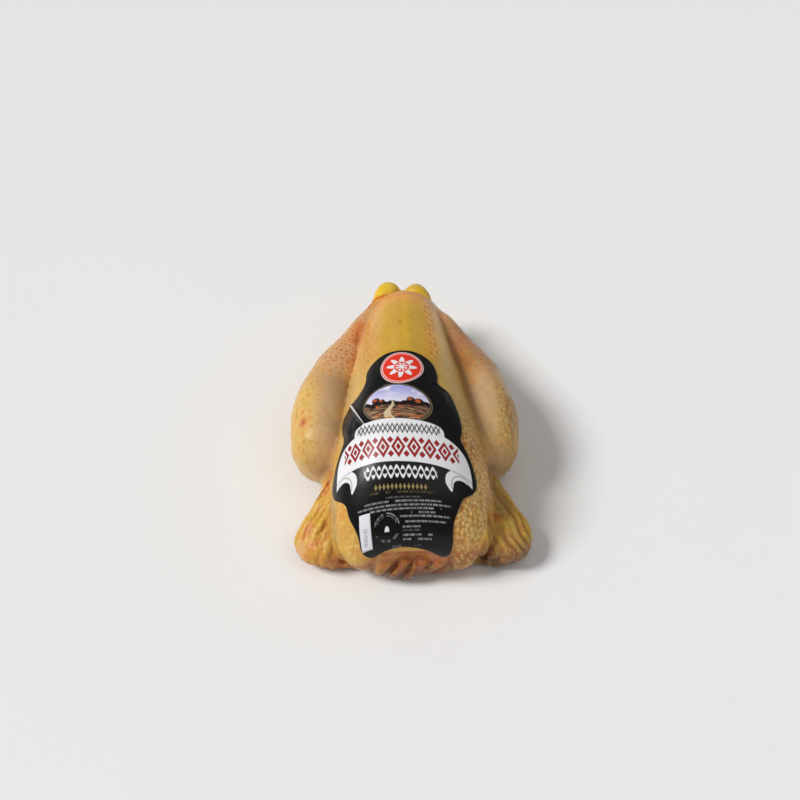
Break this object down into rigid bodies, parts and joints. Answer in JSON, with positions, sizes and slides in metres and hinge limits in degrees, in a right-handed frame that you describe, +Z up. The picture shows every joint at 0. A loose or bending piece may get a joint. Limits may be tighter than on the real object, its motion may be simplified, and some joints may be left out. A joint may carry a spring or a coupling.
{
  "type": "whole raw chicken",
  "caption": "Whole dressed raw chicken lying on its back, legs tucked and wings folded, with a film label laid over its breast.",
  "frame": {"origin": "middle of the bounding box on the surface that the bird lies on", "axes": "+Z up through the breast, +Y from the neck to the hocks, +X across the bird"},
  "size_m": [0.209, 0.3107, 0.1198],
  "materials": {
    "skin": "moist yellow skin with feather follicles",
    "label": "glossy printed film",
    "sticker": "matt white paper"
  },
  "bodies": {
    "root": {"chicken": "skin", "label": "label", "date_sticker": "sticker"}
  },
  "joints": []
}
